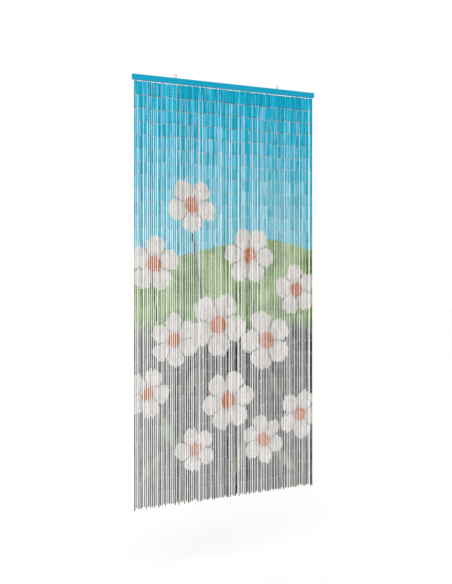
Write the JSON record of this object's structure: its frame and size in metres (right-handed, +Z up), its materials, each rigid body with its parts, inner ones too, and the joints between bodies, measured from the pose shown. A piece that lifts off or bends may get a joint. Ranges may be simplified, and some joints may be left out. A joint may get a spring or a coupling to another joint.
{
  "type": "bamboo door curtain with wooden head rail",
  "caption": "Bead curtain for a doorway: strands of painted bamboo tubes on wire, hung in a row from a blue wooden head rail with screw eyes.",
  "frame": {"origin": "midway between the tops of the two screw eyes' holes, where the hooks carry the curtain", "axes": "+X along the head rail, to the right as seen from the front; -Y is the side the curtain faces; +Z up"},
  "size_m": [1.015, 0.015, 2.0259],
  "materials": {
    "blue_paint": "satin paint on planed wood",
    "steel": "galvanised wire",
    "painted_bamboo": "hand-painted bamboo tubes, satin"
  },
  "bodies": {
    "root": {"head_rail": "blue_paint", "hanging_eye_left": "steel", "hanging_eye_right": "steel", "strands": "painted_bamboo"}
  },
  "joints": []
}
